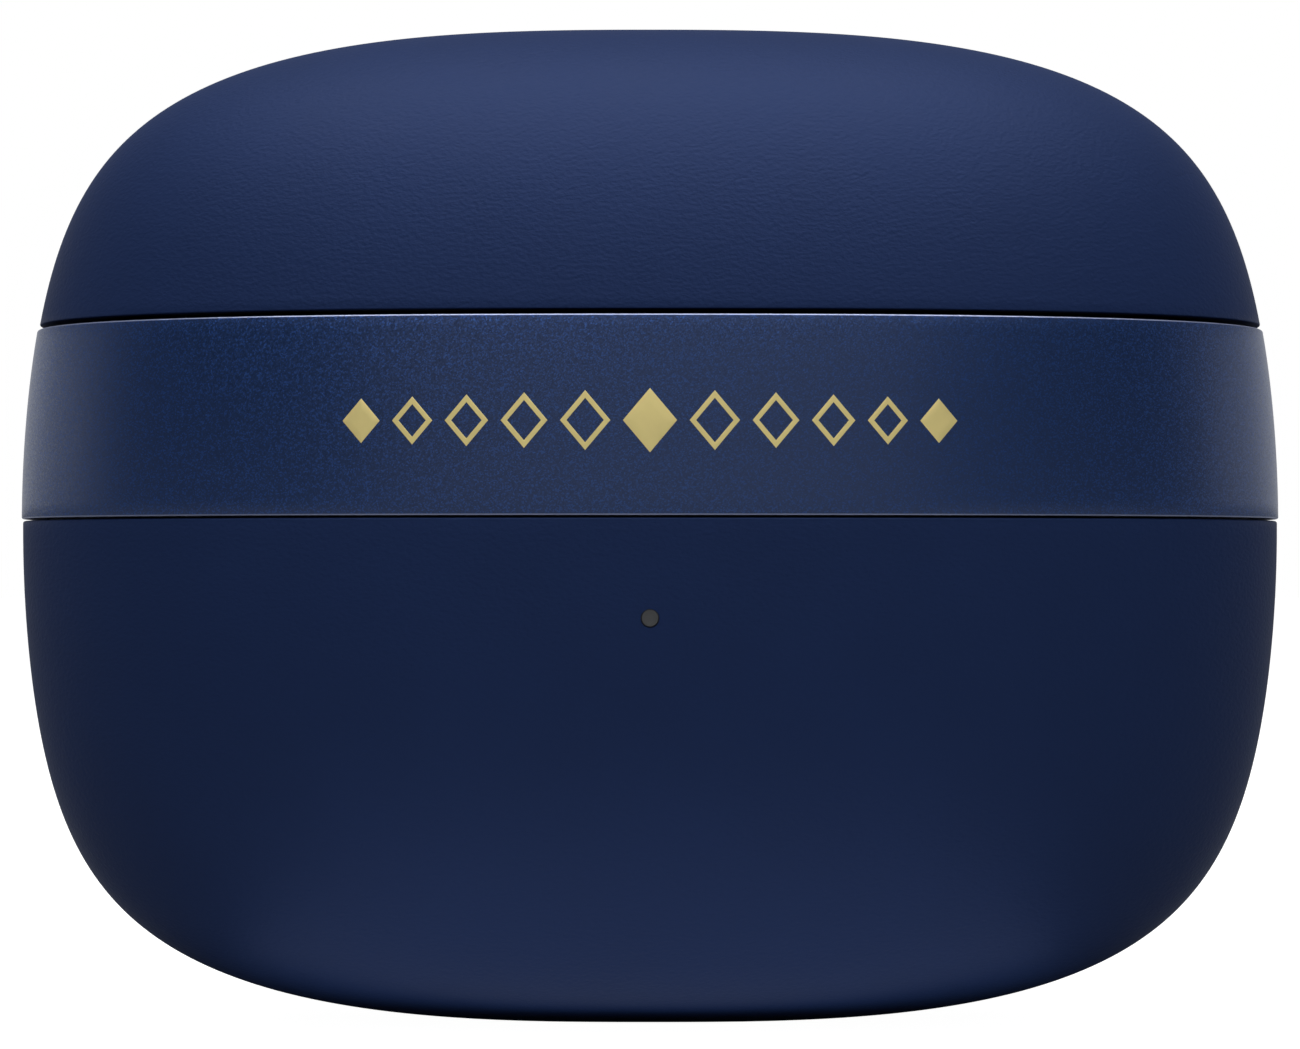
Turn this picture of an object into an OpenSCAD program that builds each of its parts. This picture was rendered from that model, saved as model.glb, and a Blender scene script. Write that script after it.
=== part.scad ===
// Charging case for a pair of wireless earbuds, in millimetres.
// X is to the right, the front faces -Y and Z is up. The origin is the middle of the foot.

/* [Body] */
// Width of the closed case at its widest
body_w = 65; // [64:0.5:80]
// Depth of the closed case at its deepest
body_d = 29; // [28.5:0.5:36]
// Height of the closed case from the foot to the crown
body_h = 51.3; // [50:0.1:64]
// Height of the seam between the lower shell and the band
base_h = 25.8; // [25:0.1:28]
// Height of the band between its two seams
band_h = 9.9; // [9:0.1:12]
// Thickness of the outer shells
wall = 1.2; // [1:0.05:1.5]

/* [Outline] */
// Roundness of the front outline's corners
corner_n = 2.83; // [2.4:0.01:3.2]
// Share of the front outline's sides that bow gently
flat_share = 0.416; // [0.3:0.002:0.5]
// How late the front outline turns in towards the crown
crown_k = 5.6; // [4:0.1:7]
// Squareness of the horizontal sections
plan_p = 2.5; // [2:0.1:3]
// Squareness of the side outline
side_q = 2.4; // [2:0.1:3]
// How much of the rounded bottom is taken off to make the flat foot
foot_cut = 0.2; // [0.1:0.05:0.4]
// How much of the crown's tip is taken off
crown_cut = 0.03; // [0.02:0.01:0.1]

/* [Gaps] */
// Gap between the lid and the band
lid_gap = 0.26; // [0.2:0.02:0.5]
// Seam between the band and the lower shell
band_gap = 0.1; // [0.06:0.02:0.2]
// How far the band stands out past the shells
band_proud = 0.07; // [0:0.01:0.2]
// Room for glue between bonded shells
bond_gap = 0.1; // [0.05:0.01:0.2]
// Chamfer on the shells' open edges
edge_chamfer = 0.25; // [0.1:0.05:0.4]

/* [Hinge] */
// Depth of the hinge axis inside the back of the case at the lid seam
hinge_inset = 0.75; // [0.6:0.05:1]
// Radius of the hinge bead at its middle
bead_r = 1.1; // [1:0.05:1.3]
// Radius of the hinge bead at its ends
bead_end_r = 0.75; // [0.7:0.05:1]
// Half the length of the hinge bead
bead_half = 11; // [9:0.5:14]
// Half the length of the lid's own knuckle
lid_knuckle_half = 5; // [4:0.5:6]
// Diameter of the hinge pin
pin_d = 0.8; // [0.6:0.1:1]
// Running clearance on the pin's radius
pin_clearance = 0.04; // [0.02:0.01:0.08]
// Gap between neighbouring knuckles
knuckle_gap = 0.15; // [0.1:0.05:0.3]
// Gap between the lid's arm and the lid shell
arm_gap = 0.05; // [0.02:0.01:0.1]
// Thickness of the hinge plates
plate_t = 0.9; // [0.7:0.1:1.2]

/* [Earbud wells] */
// Radius of each earbud well
well_r = 9.2; // [7.6:0.1:9.3]
// Depth of each well below the deck
well_depth = 16.2; // [14:0.1:16.5]
// Radius of the pocket for the ear tip beside each well
tip_r = 5.2; // [4:0.1:5.4]
// Depth of the ear tip pocket
tip_depth = 9.7; // [8:0.1:12]
// Thickness of the wells' walls
well_wall = 0.9; // [0.7:0.05:1.1]
// Thickness of the deck between the wells
deck_t = 1.2; // [1:0.1:1.5]
// Least gap between the wells and the frame round them
well_gap = 0.05; // [0.02:0.01:0.08]
// Depth of the deck below the top of the band
deck_drop = 0.37; // [0.3:0.01:0.8]

/* [Contacts] */
// Distance between the two contacts of a well
contact_pitch = 3.6; // [3:0.1:4.4]
// Diameter of a contact plunger's tip
plunger_d = 0.9; // [0.7:0.05:1]
// Travel of a contact plunger
plunger_travel = 0.8; // [0.5:0.1:1]

/* [Power] */
// Width, depth and height of the battery
battery_size = [28, 11, 8.6]; // [6:0.5:30]
// Height of the underside of the battery
battery_z = 3.6; // [3.4:0.1:4]
// Height of the underside of the main board
board_z = 13.2; // [13:0.1:14]
// Thickness of the main board
board_t = 0.8; // [0.6:0.1:1.2]
// Width, height and length of the charging socket
usb_size = [8.94, 3.2, 6.6]; // [3:0.1:9]
// Outer radius of the wireless charging coil
coil_r = 8; // [7:0.1:8.1]

/* [Controls] */
// Diameter of the pairing button
button_d = 5.4; // [4:0.1:6]
// Travel of the pairing button
button_travel = 0.35; // [0.2:0.05:0.5]
// Diameter of the status light's lens
led_d = 0.8; // [0.6:0.05:1.5]
// Height of the status light's lens
led_z = 20.9; // [19:0.1:22]

/* [Hidden] */
$fn = 48;
sides = 64;
polar_crowd = 2.4;
pebble_half = (body_h + foot_cut + crown_cut) / 2;
mid_z = pebble_half - foot_cut;
seam_z = base_h + band_h;
band_bottom = base_h + band_gap / 2;
band_top = seam_z - lid_gap / 2;
lower_rim = base_h - band_gap / 2;
lid_rim = seam_z + lid_gap / 2;
lid_h = body_h - lid_rim;
skin_in = wall + bond_gap;
frame_t = 1;
frame_in = skin_in + frame_t;
frame_bottom = base_h - 4;
deck_top = band_top - deck_drop;
deck_bottom = deck_top - deck_t;
frame_top = deck_bottom - bond_gap;
inner_cut = 0.3;

hinge_y = half_d(seam_z) - hinge_inset;
bead_clear = 0.15;
bead_swing = 0.4;
relief_r = max(0.7, skin_y(bead_half + 0.2, seam_z) - hinge_y + bead_clear + 0.1);
relief_half = half_w(seam_z) * pow(1 - pow(hinge_y / half_d(seam_z), plan_p), 1 / plan_p) + 0.4;
pin_r = pin_d / 2;
plate_z = frame_top - 2.9;
plate_back = skin_y(bead_half, frame_top, -frame_in) - 0.1;
plate_y = plate_back - plate_t;
arm_low = 0.95;
arm_near = pin_r + pin_clearance + 0.02;
lid_arm_top = lid_rim + min(5.2, lid_h * 0.34);
lid_plate_back = skin_y(lid_knuckle_half, lid_arm_top, -wall) - 0.4;
lid_plate_y = lid_plate_back - plate_t;
hinge_screw_x = 8.2;
hinge_screw_z = plate_z + 1.4;
hinge_boss = 3.2;
hinge_boss_back = skin_y(hinge_screw_x + hinge_boss / 2, frame_top, -skin_in) - 0.15;
lid_screw_x = 3;
lid_screw_z = (lid_rim + lid_arm_top) / 2 + 0.7;

well_x = body_w * 0.254;
bowl_z = deck_top - well_depth + well_r;
well_floor = deck_top - well_depth;
pad_r = 4.6;
pad_z = well_floor - well_wall;
tip_dx = 5.5;
tip_y = -3;
tip_z = deck_top - tip_depth + tip_r;
bud_magnet_d = 4;
bud_magnet_t = 1.5;
bud_magnet_dx = 6.4;
bud_magnet_z = pad_z - 0.6;

board_top = board_z + board_t;
port_z = board_z - usb_size[1] / 2;
usb_mouth = half_d(port_z) - 0.6;
usb_back = usb_mouth - usb_size[2];
usb_skin = 0.3;
board_half_w = half_w(board_z, -wall) - 7.2;
board_half_d = usb_back + 2.8;
board_tab_half = 5;
led_y = -(half_d(board_z, -wall) - 2);
board_post_x = 19.4;
board_post_y = 4.6;
post_r = 1.7;
frame_post_x = half_w(frame_bottom, -frame_in) - 1.6;
magnet_size = [10, 2.6, 2];
magnet_y = -(half_d(deck_bottom, -frame_in) - 2.2);
coil_z = board_top + coil_r + 0.6;
coil_t = 0.4;
ferrite_t = 0.5;
coil_back = min(skin_y(0, coil_z - coil_r, -wall), skin_y(coil_r, coil_z, -frame_in)) - 0.5;
coil_front = coil_back - coil_t;
ferrite_front = coil_front - ferrite_t;

contact_lip = 0.3;
contact_bore = 1.5;
housing_size = [7, 3.4];
housing_top = pad_z - bond_gap;
flange_top = housing_top - contact_lip - 0.05;
flange_t = 0.85;
flange_d = contact_bore - 0.14;
tip_rise = 1.2;
plunger_top = well_floor + tip_rise;
spring_bottom = board_top + 0.65;
spring_top = flange_top - flange_t - 0.03;
spring_wire = 0.16;
spring_r = 0.5;
spring_turns = 5;

stem_r = 1;
cap_rise = 0.25;
flange_drop = 0.1;
button_flange = 0.7;
stem_bottom = deck_bottom - 1.45;
switch_top = stem_bottom - button_travel - 0.05;
switch_nub = 0.25;
switch_h = 1;
switch_board_t = 0.6;
switch_board_z = switch_top - switch_nub - switch_h - switch_board_t;
switch_board_size = [9, 16];
flex_t = 0.2;
flex_w = 4;
flex_y = switch_board_size[1] / 2 - 1.6;

// ---- The pebble shape ----

// Distance from mid-height as a share of the half height, for a skin grown or shrunk by grow
function rel(z, grow) = min(1, abs(z - mid_z) / (pebble_half + grow));
function half_w(z, grow = 0) = let (t = rel(z, grow))
    (body_w / 2 + grow) * pow(1 - flat_share * t * t - (1 - flat_share) * pow(t, crown_k), 1 / corner_n);
function half_d(z, grow = 0) = (body_d / 2 + grow) * pow(1 - pow(rel(z, grow), side_q), 1 / side_q);
function skin_y(x, z, grow = 0) = half_d(z, grow)
    * pow(1 - pow(min(1, abs(x) / half_w(z, grow)), plan_p), 1 / plan_p);
function signed_pow(v, e) = sign(v) * pow(abs(v), e);
function section(z, grow) = [
    for (i = [0 : sides - 1])
        let (q = 360 * i / sides)
        [half_w(z, grow) * signed_pow(cos(q), 2 / plan_p), half_d(z, grow) * signed_pow(sin(q), 2 / plan_p)]
];

// Levels from near the pole (up = 1 crown, up = -1 foot) to the rim, crowded towards the pole
function climb(up, cut, rim, grow, steps) = let (
    h = pebble_half + grow,
    from = pow(cut / h, 1 / polar_crowd),
    to = pow(1 - up * (rim - mid_z) / h, 1 / polar_crowd)
) [for (i = [0 : steps]) [mid_z + up * h * (1 - pow(from + (to - from) * i / steps, polar_crowd)), grow]];
function reversed(v) = [for (i = [len(v) - 1 : -1 : 0]) v[i]];

// A solid through a stack of [height, grow] sections: capped at both ends, or closed into a ring
module skin(stack, ring = false) {
    n = len(stack);
    last = ring ? n - 1 : n - 2;
    points = [for (s = stack) for (p = section(s[0], s[1])) [p[0], p[1], s[0]]];
    walls = [
        for (k = [0 : last])
            for (i = [0 : sides - 1])
                let (j = (i + 1) % sides, a = k * sides, b = ((k + 1) % n) * sides)
                each [[a + i, b + i, b + j], [a + i, b + j, a + j]]
    ];
    caps = [[for (i = [0 : sides - 1]) i], [for (i = [sides - 1 : -1 : 0]) (n - 1) * sides + i]];
    polyhedron(points, ring ? walls : concat(caps, walls), convexity = 8);
}

// The full pebble between two heights, used to trim what is inside it
module pebble(grow, bottom, top, steps = 8) {
    skin([for (i = [0 : steps]) [bottom + (top - bottom) * i / steps, grow]]);
}

// ---- Shared shapes ----

module rounded_slab(size, r) {
    linear_extrude(size[2]) rounded_outline(size[0], size[1], r);
}

module rounded_outline(w, d, r) {
    square([w - 2 * r, d], center = true);
    square([w, d - 2 * r], center = true);
    for (x = [-1, 1], y = [-1, 1]) translate([x * (w / 2 - r), y * (d / 2 - r)]) circle(r);
}

// A small cross-head screw, its head down to z = 0 and its shank below
module screw(head_d, head_h, d, length) {
    difference() {
        union() {
            cylinder(d = head_d, h = head_h);
            translate([0, 0, -length]) cylinder(d = d, h = length + head_h / 2);
        }
        for (a = [0, 90]) rotate(a) translate([-head_d * 0.3, -0.12, head_h / 2]) cube([head_d * 0.6, 0.24, head_h]);
    }
}

function bead_radius(x) = bead_r - (bead_r - bead_end_r) * pow(x / bead_half, 2);

// The crowned hinge bead about the X axis from x0 to x1, with an optional bore
module bead(x0, x1, grow = 0, bore = 0) {
    steps = 8;
    crown = [for (i = [0 : steps]) let (x = x0 + (x1 - x0) * i / steps) [bead_radius(x) + grow, x]];
    at_hinge() rotate([0, 90, 0]) rotate_extrude() polygon(concat([[bore, x0]], crown, [[bore, x1]]));
}

module at_hinge() {
    translate([0, hinge_y, seam_z]) children();
}

module both_sides() {
    children();
    mirror([1, 0, 0]) children();
}

// ---- Casing ----

module lower_shell() {
    color("#16213d") difference() {
        union() {
            skin(concat(
                climb(-1, foot_cut, lower_rim - edge_chamfer, 0, 12),
                [[lower_rim, -edge_chamfer]],
                reversed(climb(-1, inner_cut, lower_rim, -wall, 10))
            ));
            intersection() {
                lower_posts();
                pebble(-wall / 2, 1.5, frame_bottom, 10);
            }
        }
        port_slot();
        led_hole(led_d / 2 + 0.05);
        screw_holes();
    }
}

module lower_posts() {
    for (x = [-1, 1], y = [-1, 1]) translate([x * board_post_x, y * board_post_y, 1])
        cylinder(r = post_r, h = board_z - 1);
    both_sides() translate([frame_post_x, 0, 0]) {
        translate([0, 0, board_top]) cylinder(r = 1.9, h = frame_bottom - bond_gap - board_top);
        translate([0, -0.7, board_top + 1]) cube([5, 1.4, frame_bottom - bond_gap - board_top - 1]);
    }
}

module screw_holes() {
    for (x = [-1, 1], y = [-1, 1]) translate([x * board_post_x, y * board_post_y, board_z - 4])
        cylinder(r = 0.5, h = 5);
    for (x = [-1, 1]) translate([x * frame_post_x, 0, frame_bottom - 5]) cylinder(r = 0.5, h = 6);
}

module port_slot() {
    translate([0, usb_mouth - 2.4, port_z]) rotate([-90, 0, 0]) linear_extrude(6)
        rounded_outline(usb_size[0] + 0.3, usb_size[1] + 0.3, usb_size[1] / 2 + 0.1);
}

module led_hole(r) {
    translate([0, -half_d(led_z) - 1, led_z]) rotate([-90, 0, 0]) cylinder(r = r, h = wall + 2);
}

module mid_band() {
    steps = 5;
    outer = [for (i = [0 : steps])
        [band_bottom + edge_chamfer + (band_h - lid_gap / 2 - band_gap / 2 - 2 * edge_chamfer) * i / steps, band_proud]];
    inner = [for (i = [steps : -1 : 0]) [band_bottom + (band_top - band_bottom) * i / steps, -wall]];
    color("#26396f") difference() {
        skin(concat(
            [[band_bottom, band_proud - edge_chamfer]],
            outer,
            [[band_top, band_proud - edge_chamfer]],
            inner
        ), ring = true);
        bead(-bead_half - 0.2, bead_half + 0.2, bead_swing);
        at_hinge() rotate([0, 90, 0]) cylinder(r = relief_r, h = 2 * relief_half, center = true);
    }
}

module inner_frame() {
    steps = 5;
    height = frame_top - frame_bottom;
    outer = [for (i = [0 : steps]) [frame_bottom + height * i / steps, -skin_in]];
    inner = [for (i = [steps : -1 : 0]) [frame_bottom + height * i / steps, -frame_in]];
    color("#20242c") difference() {
        union() {
            skin(concat(outer, inner), ring = true);
            for (x = [-1, 1]) {
                translate([x * frame_post_x, 0, frame_bottom]) cylinder(r = 2.2, h = 1.2);
                translate([x * hinge_screw_x - hinge_boss / 2, plate_back, plate_z])
                    cube([hinge_boss, hinge_boss_back - plate_back, frame_top - plate_z]);
            }
        }
        for (x = [-1, 1]) {
            translate([x * frame_post_x, 0, frame_bottom - 1]) cylinder(r = 0.65, h = 4);
            translate([x * hinge_screw_x, plate_back - 1, hinge_screw_z]) rotate([-90, 0, 0])
                cylinder(r = 0.45, h = 1.9);
        }
        wells(well_wall + well_gap, frame_top + 1);
    }
}

module frame_screws() {
    color("silver") for (x = [-1, 1]) translate([x * frame_post_x, 0, frame_bottom + 1.2]) screw(2.4, 0.7, 1, 4.6);
}

// A straight-sided cup with a half-round bottom, its sides starting at z = 0
module bowl(r, height) {
    cylinder(r = r, h = height);
    intersection() {
        sphere(r);
        translate([-r, -r, -r]) cube([2 * r, 2 * r, r]);
    }
}

module wells(grow, top) {
    both_sides() {
        translate([well_x, 0, bowl_z]) bowl(well_r + grow, top - bowl_z);
        translate([well_x - tip_dx, tip_y, tip_z]) bowl(tip_r + grow, top - tip_z);
    }
}

module contact_spots() {
    for (side = [-1, 1], k = [-1, 1]) translate([side * well_x + k * contact_pitch / 2, 0, 0]) children();
}

module cradle() {
    color("#1c2438") difference() {
        union() {
            translate([0, 0, deck_bottom]) linear_extrude(deck_t) polygon(section(deck_top, -skin_in));
            wells(well_wall, deck_bottom + 0.2);
            for (side = [-1, 1]) {
                translate([side * well_x, 0, pad_z]) cylinder(r = pad_r, h = 2);
                translate([side * (well_x + bud_magnet_dx), 0, bud_magnet_z])
                    cylinder(d = bud_magnet_d + 1.2, h = bowl_z - well_r * 0.75 - bud_magnet_z);
            }
        }
        wells(0, deck_top + 1);
        both_sides() translate([well_x, 0, deck_top - 0.5]) cylinder(r1 = well_r, r2 = well_r + 0.8, h = 0.8);
        contact_spots() translate([0, 0, pad_z - 1]) cylinder(d = plunger_d + 0.3, h = 4);
        for (side = [-1, 1]) translate([side * (well_x + bud_magnet_dx), 0, bud_magnet_z - 1])
            cylinder(d = bud_magnet_d, h = bud_magnet_t + 1);
        translate([0, 0, deck_bottom - 1]) cylinder(d = button_d + 0.3, h = 4);
        translate([-bead_half - 0.4, plate_y - 0.2, deck_bottom - 1]) cube([2 * bead_half + 0.8, 9, 4]);
    }
}

// ---- Hinge ----

module hinge_bracket() {
    color("#8a8f98") difference() {
        union() {
            both_sides() {
                bead(lid_knuckle_half + knuckle_gap, bead_half, 0, pin_r);
                translate([lid_knuckle_half + knuckle_gap, plate_y, seam_z - arm_low])
                    cube([bead_half - lid_knuckle_half - 1.6, hinge_y - arm_near - plate_y, arm_low - arm_near]);
            }
            translate([-bead_half + 0.4, plate_y, plate_z])
                cube([2 * bead_half - 0.8, plate_t, seam_z - arm_near - plate_z]);
        }
        for (x = [-1, 1]) translate([x * hinge_screw_x, plate_y - 1, hinge_screw_z]) rotate([-90, 0, 0])
            cylinder(r = 0.6, h = 3);
    }
}

module hinge_pin() {
    color("silver") at_hinge() rotate([0, 90, 0]) cylinder(d = pin_d, h = 2 * bead_half - 0.4, center = true);
}

module hinge_screws() {
    color("silver") for (x = [-1, 1]) translate([x * hinge_screw_x, plate_y, hinge_screw_z]) rotate([90, 0, 0])
        screw(2, 0.5, 0.9, 1.7);
}

module lid_hinge_arm() {
    color("#8a8f98") difference() {
        union() {
            bead(-lid_knuckle_half, lid_knuckle_half, 0, pin_r + pin_clearance);
            translate([-lid_knuckle_half, lid_plate_y, seam_z + arm_near])
                cube([2 * lid_knuckle_half, hinge_y - 0.3 - lid_plate_y, arm_low - arm_near]);
            translate([-lid_knuckle_half, lid_plate_y, seam_z + arm_near])
                cube([2 * lid_knuckle_half, plate_t, lid_arm_top - seam_z - arm_near]);
        }
        for (x = [-1, 1]) translate([x * lid_screw_x, lid_plate_y - 1, lid_screw_z]) rotate([-90, 0, 0])
            cylinder(r = 0.6, h = 3);
    }
}

module lid_hinge_screws() {
    color("silver") for (x = [-1, 1]) translate([x * lid_screw_x, lid_plate_y, lid_screw_z]) rotate([90, 0, 0])
        screw(2, 0.5, 0.9, 2.1);
}

// ---- Lid ----

module lid_shell() {
    color("#22305a") difference() {
        union() {
            skin(concat(
                climb(1, inner_cut, lid_rim, -wall, 12),
                [[lid_rim, -edge_chamfer]],
                reversed(climb(1, crown_cut, lid_rim + edge_chamfer, 0, 12))
            ));
            intersection() {
                for (x = [-1, 1]) translate([x * lid_screw_x, lid_plate_back, lid_screw_z]) rotate([-90, 0, 0])
                    cylinder(r = 1.3, h = 4);
                pebble(-wall / 2, lid_screw_z - 2, lid_screw_z + 2, 2);
            }
        }
        bead(-bead_half - 0.2, bead_half + 0.2, bead_clear);
        translate([-lid_knuckle_half - arm_gap, lid_plate_y, seam_z])
            cube([2 * (lid_knuckle_half + arm_gap), hinge_y - lid_plate_y, arm_low + arm_gap]);
        for (x = [-1, 1]) translate([x * lid_screw_x, lid_plate_back - 1, lid_screw_z]) rotate([-90, 0, 0])
            cylinder(r = 0.45, h = 2.3);
    }
}

module lid_liner() {
    liner_t = 0.9;
    flange_t = 0.8;
    boss = [magnet_size[0] + 1.6, magnet_size[1] + 1.6, magnet_size[2] + 0.8];
    color("#1c2438") difference() {
        union() {
            skin(concat(
                climb(1, inner_cut, lid_rim + 0.1, -skin_in - liner_t, 9),
                reversed(climb(1, inner_cut, lid_rim + 0.1, -skin_in, 9))
            ));
            intersection() {
                translate([-boss[0] / 2, magnet_y - 8, lid_rim + 0.1]) cube([boss[0], boss[1] / 2 + 8, boss[2]]);
                pebble(-skin_in - liner_t / 2, lid_rim, lid_rim + 6, 4);
            }
            for (x = [-1, 1]) intersection() {
                translate([x * (half_w(lid_rim, -skin_in) - 3.4), 0, lid_rim + 0.1])
                    cylinder(r = 2.6, h = flange_t);
                pebble(-skin_in - liner_t / 2, lid_rim, lid_rim + 6, 4);
            }
        }
        translate([-magnet_size[0] / 2, magnet_y - magnet_size[1] / 2, lid_rim + 0.9])
            cube(magnet_size + [0, 0, 1]);
        bead(-bead_half - 0.2, bead_half + 0.2, bead_clear);
        translate([-lid_knuckle_half - 0.2, lid_plate_y - 0.15, seam_z - 1])
            cube([2 * lid_knuckle_half + 0.4, 9, lid_arm_top - seam_z + 1.2]);
    }
}

module lid_magnet() {
    color("silver") translate([-magnet_size[0] / 2, magnet_y - magnet_size[1] / 2, lid_rim + 0.9]) cube(magnet_size);
}

module lid_bumpers() {
    color("#303030") for (x = [-1, 1]) translate([x * (half_w(lid_rim, -skin_in) - 3.4), 0, deck_top + 0.08])
        cylinder(r = 1.2, h = lid_rim + 0.1 - deck_top - 0.08);
}

// ---- Magnets in the base ----

module base_magnet() {
    color("silver") translate([-magnet_size[0] / 2, magnet_y - magnet_size[1] / 2, deck_bottom - magnet_size[2]])
        cube(magnet_size);
}

module bud_magnets() {
    color("silver") for (side = [-1, 1]) translate([side * (well_x + bud_magnet_dx), 0, bud_magnet_z])
        cylinder(d = bud_magnet_d, h = bud_magnet_t);
}

// ---- Contacts ----

module pogo_housing(side) {
    color("#15171c") difference() {
        translate([side * well_x, 0, board_top]) rounded_slab([housing_size[0], housing_size[1], housing_top - board_top], 0.6);
        contact_spots() {
            translate([0, 0, board_top + 0.6]) cylinder(d = contact_bore, h = housing_top - contact_lip - board_top - 0.6);
            translate([0, 0, board_top + 1]) cylinder(d = plunger_d + 0.1, h = 6);
        }
    }
}

module at_contact(side, k) {
    translate([side * well_x + k * contact_pitch / 2, 0, 0]) children();
}

module plunger(side, k) {
    tip_round = plunger_d / 2;
    color("gold") at_contact(side, k) {
        translate([0, 0, flange_top - flange_t]) cylinder(d = flange_d, h = flange_t);
        translate([0, 0, flange_top - flange_t / 2])
            cylinder(d = plunger_d, h = plunger_top - tip_round - flange_top + flange_t / 2);
        translate([0, 0, plunger_top - tip_round]) sphere(tip_round);
    }
}

module plunger_spring(side, k) {
    steps = 3;
    pitch = (spring_top - spring_bottom) / spring_turns;
    sweep = 360 * spring_wire / pitch;
    arc = [for (i = [0 : steps]) sweep * i / steps];
    color("silver") at_contact(side, k) translate([0, 0, spring_bottom])
        linear_extrude(spring_top - spring_bottom, twist = -360 * spring_turns, slices = 50, segments = 8)
            polygon(concat(
                [for (a = arc) (spring_r + spring_wire / 2) * [cos(a), sin(a)]],
                [for (a = reversed(arc)) (spring_r - spring_wire / 2) * [cos(a), sin(a)]]
            ));
}

// ---- Main board ----

module main_board() {
    color("#1d5a3c") difference() {
        union() {
            translate([0, 0, board_z]) rounded_slab([2 * board_half_w, 2 * board_half_d, board_t], 2.5);
            translate([-board_tab_half, led_y - 1, board_z]) cube([2 * board_tab_half, -led_y, board_t]);
        }
        for (x = [-1, 1], y = [-1, 1]) translate([x * board_post_x, y * board_post_y, board_z - 1])
            cylinder(r = 0.65, h = 3);
    }
}

module board_screws() {
    color("silver") for (x = [-1, 1], y = [-1, 1]) translate([x * board_post_x, y * board_post_y, board_top])
        screw(2, 0.6, 1, 4);
}

module processor_chip() {
    color("#17181b") translate([-9, -1, board_top]) rounded_slab([5, 5, 0.9], 0.2);
}

module power_chip() {
    color("#17181b") translate([8.6, 1, board_top]) rounded_slab([3, 3, 0.8], 0.2);
}

module board_parts() {
    color("#b9a37a") {
        for (i = [0 : 4]) translate([-3.4 + 1.7 * i, -4.6, board_top]) translate([-0.5, -0.25, 0]) cube([1, 0.5, 0.5]);
        for (i = [0 : 3]) translate([4.8, -2.4 + 1.3 * i, board_top]) translate([-0.25, -0.4, 0]) cube([0.5, 0.8, 0.45]);
    }
    color("#3a3d42") translate([1, 1.5, board_top]) rounded_slab([4, 4, 1.6], 0.6);
    color("silver") translate([-4.4, 2.4, board_top]) rounded_slab([2.5, 2, 0.6], 0.3);
}

module status_led() {
    color("#f2efe2") translate([0, led_y, board_top]) rounded_slab([1.6, 0.8, 0.6], 0.1);
}

// A clear guide from the board's light up to the lens in the front of the shell
module light_pipe() {
    guide_r = 0.7;
    front = -half_d(led_z) + 0.06;
    shoulder = -half_d(led_z, -wall) + 0.3;
    color("#5c616b") {
        translate([0, led_y, board_top + 0.7]) cylinder(r = guide_r, h = led_z - board_top - 0.7);
        translate([0, led_y, led_z]) sphere(guide_r);
        translate([0, shoulder, led_z]) rotate([-90, 0, 0]) cylinder(r = guide_r, h = led_y - shoulder);
        translate([0, front, led_z]) rotate([-90, 0, 0]) cylinder(d = led_d, h = shoulder - front + 0.2);
    }
}

// ---- Battery ----

module battery() {
    color("#5f6b78") translate([0, 0, battery_z]) rounded_slab(battery_size, 2);
}

module battery_pad() {
    color("#3a3a3a") translate([0, 0, battery_z - 0.8]) rounded_slab([18, 5, 0.8], 1);
}

module battery_socket() {
    color("#e8e4d8") translate([battery_size[0] / 2 + 2, -1.6, board_z - 1.6]) cube([3, 3.2, 1.6]);
}

module battery_leads() {
    lead_r = 0.35;
    lead_z = board_z - 4.5;
    from = battery_size[0] / 2;
    to = from + 3.3;
    for (y = [-0.8, 0.8]) color(y < 0 ? "red" : "black") {
        translate([from, y, lead_z]) rotate([0, 90, 0]) cylinder(r = lead_r, h = to - from);
        translate([to, y, lead_z]) sphere(lead_r);
        translate([to, y, lead_z]) cylinder(r = lead_r, h = board_z - 1.6 - lead_z);
    }
}

// ---- Charging socket ----

module usb_tube(length, shrink) {
    rotate([-90, 0, 0]) linear_extrude(length)
        rounded_outline(usb_size[0] - 2 * shrink, usb_size[1] - 2 * shrink, usb_size[1] / 2 - shrink - 0.02);
}

module usb_shell() {
    color("#b8bcc2") translate([0, usb_back, port_z]) difference() {
        usb_tube(usb_size[2], 0);
        translate([0, usb_skin, 0]) usb_tube(usb_size[2], usb_skin);
    }
}

module usb_tongue() {
    color("#101114") translate([0, usb_back + usb_skin, port_z]) {
        usb_tube(1.5, usb_skin);
        translate([-3.3, 1, -0.35]) cube([6.6, usb_size[2] - usb_skin - 1.8, 0.7]);
    }
}

module usb_contacts() {
    count = 12;
    pitch = 0.5;
    color("gold") for (i = [0 : count - 1], face = [0, 1])
        translate([(i - (count - 1) / 2) * pitch - 0.13, usb_back + usb_skin + 1.5, port_z + (face == 1 ? 0.35 : -0.41)])
            cube([0.26, usb_size[2] - usb_skin - 2.6, 0.06]);
}

// ---- Wireless charging ----

module coil_disc(y, r, t, hole = 0) {
    translate([0, y, coil_z]) rotate([-90, 0, 0]) difference() {
        cylinder(r = r, h = t);
        if (hole > 0) translate([0, 0, -1]) cylinder(r = hole, h = t + 2);
    }
}

module charge_coil() {
    color("#b87333") coil_disc(coil_front, coil_r, coil_t, coil_r * 0.42);
}

module ferrite_sheet() {
    color("#2b2b2e") coil_disc(ferrite_front, coil_r, ferrite_t);
}

module coil_pad() {
    color("#3a3a3a") coil_disc(coil_back, coil_r * 0.7, 0.4);
}

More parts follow.
